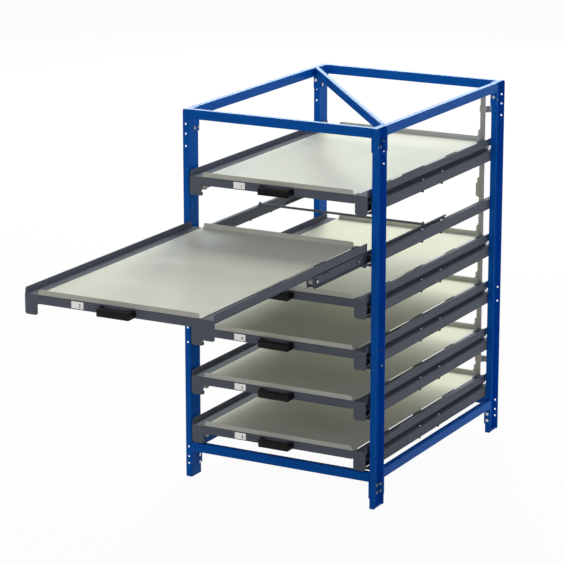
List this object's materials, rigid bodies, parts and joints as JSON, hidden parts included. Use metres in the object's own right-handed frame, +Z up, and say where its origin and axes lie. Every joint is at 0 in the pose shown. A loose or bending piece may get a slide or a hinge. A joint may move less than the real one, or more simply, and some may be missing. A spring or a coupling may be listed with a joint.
{
  "type": "roll-out drawer rack",
  "caption": "Open steel workshop rack with channel posts, tube rails and low roll-out trays on telescopic roller slides, each with a bridge handle.",
  "frame": {"origin": "centre of the frame's footprint on the floor, midway between the four posts", "axes": "+X to the right seen from the front, +Y from front to back, +Z up; drawers open towards -Y"},
  "size_m": [1.13, 3.147, 2],
  "materials": {
    "blue_paint": "gloss powder coat",
    "anthracite_paint": "satin powder coat",
    "tray_paint": "satin powder coat",
    "grey_paint": "satin powder coat",
    "black_plastic": "fine moulded grain",
    "nylon": "turned nylon",
    "zinc_plate": "bright zinc plate"
  },
  "bodies": {
    "frame": {"post_front_right": "blue_paint", "post_front_left": "blue_paint", "post_back_right": "blue_paint", "post_back_left": "blue_paint", "base_plates": "blue_paint", "top_caps": "blue_paint", "top_rail_front": "blue_paint", "top_rail_back": "blue_paint", "top_rail_left": "blue_paint", "top_rail_right": "blue_paint", "bottom_rail_front": "blue_paint", "bottom_rail_back": "blue_paint", "bottom_rail_left": "blue_paint", "bottom_rail_right": "blue_paint", "top_brace": "blue_paint", "frame_bolts": "zinc_plate", "slide_rails_left": "anthracite_paint", "slide_rails_right": "anthracite_paint", "support_rollers": "nylon", "interlock_guides": "grey_paint"},
    "interlock": {"interlock_bar": "grey_paint"},
    "drawer_1": {"side_beams_1": "anthracite_paint", "cross_bars_1": "anthracite_paint", "tray_1": "tray_paint", "handle_1": "black_plastic"},
    "middle_1": {"middle_rails_1": "anthracite_paint", "rollers_1": "nylon"},
    "drawer_2": {"side_beams_2": "anthracite_paint", "cross_bars_2": "anthracite_paint", "tray_2": "tray_paint", "handle_2": "black_plastic"},
    "middle_2": {"middle_rails_2": "anthracite_paint", "rollers_2": "nylon"},
    "drawer_3": {"side_beams_3": "anthracite_paint", "cross_bars_3": "anthracite_paint", "tray_3": "tray_paint", "handle_3": "black_plastic"},
    "middle_3": {"middle_rails_3": "anthracite_paint", "rollers_3": "nylon"},
    "drawer_4": {"side_beams_4": "anthracite_paint", "cross_bars_4": "anthracite_paint", "tray_4": "tray_paint", "handle_4": "black_plastic"},
    "middle_4": {"middle_rails_4": "anthracite_paint", "rollers_4": "nylon"},
    "drawer_5": {"side_beams_5": "anthracite_paint", "cross_bars_5": "anthracite_paint", "tray_5": "tray_paint", "handle_5": "black_plastic"},
    "middle_5": {"middle_rails_5": "anthracite_paint", "rollers_5": "nylon"},
    "drawer_6": {"side_beams_6": "anthracite_paint", "cross_bars_6": "anthracite_paint", "tray_6": "tray_paint", "handle_6": "black_plastic"},
    "middle_6": {"middle_rails_6": "anthracite_paint", "rollers_6": "nylon"}
  },
  "joints": [
    {"name": "interlock_lift", "type": "slide", "parent": "frame", "child": "interlock", "axis": [0, 0, 1], "range_m": [0, 0.012]},
    {"name": "drawer_1_slide", "type": "slide", "parent": "frame", "child": "drawer_1", "axis": [0, -1, 0], "range_m": [0, 1.53]},
    {"name": "middle_1_slide", "type": "slide", "parent": "frame", "child": "middle_1", "axis": [0, -1, 0], "range_m": [0, 0.5508]},
    {"name": "drawer_2_slide", "type": "slide", "parent": "frame", "child": "drawer_2", "axis": [0, -1, 0], "range_m": [-1.53, 0]},
    {"name": "middle_2_slide", "type": "slide", "parent": "frame", "child": "middle_2", "axis": [0, -1, 0], "range_m": [-0.5508, 0]},
    {"name": "drawer_3_slide", "type": "slide", "parent": "frame", "child": "drawer_3", "axis": [0, -1, 0], "range_m": [0, 1.53]},
    {"name": "middle_3_slide", "type": "slide", "parent": "frame", "child": "middle_3", "axis": [0, -1, 0], "range_m": [0, 0.5508]},
    {"name": "drawer_4_slide", "type": "slide", "parent": "frame", "child": "drawer_4", "axis": [0, -1, 0], "range_m": [0, 1.53]},
    {"name": "middle_4_slide", "type": "slide", "parent": "frame", "child": "middle_4", "axis": [0, -1, 0], "range_m": [0, 0.5508]},
    {"name": "drawer_5_slide", "type": "slide", "parent": "frame", "child": "drawer_5", "axis": [0, -1, 0], "range_m": [0, 1.53]},
    {"name": "middle_5_slide", "type": "slide", "parent": "frame", "child": "middle_5", "axis": [0, -1, 0], "range_m": [0, 0.5508]},
    {"name": "drawer_6_slide", "type": "slide", "parent": "frame", "child": "drawer_6", "axis": [0, -1, 0], "range_m": [0, 1.53]},
    {"name": "middle_6_slide", "type": "slide", "parent": "frame", "child": "middle_6", "axis": [0, -1, 0], "range_m": [0, 0.5508]}
  ],
  "couplings": [
    {"joint": "middle_1_slide", "follows": "drawer_1_slide", "ratio": 0.36},
    {"joint": "middle_2_slide", "follows": "drawer_2_slide", "ratio": 0.36},
    {"joint": "middle_3_slide", "follows": "drawer_3_slide", "ratio": 0.36},
    {"joint": "middle_4_slide", "follows": "drawer_4_slide", "ratio": 0.36},
    {"joint": "middle_5_slide", "follows": "drawer_5_slide", "ratio": 0.36},
    {"joint": "middle_6_slide", "follows": "drawer_6_slide", "ratio": 0.36}
  ]
}
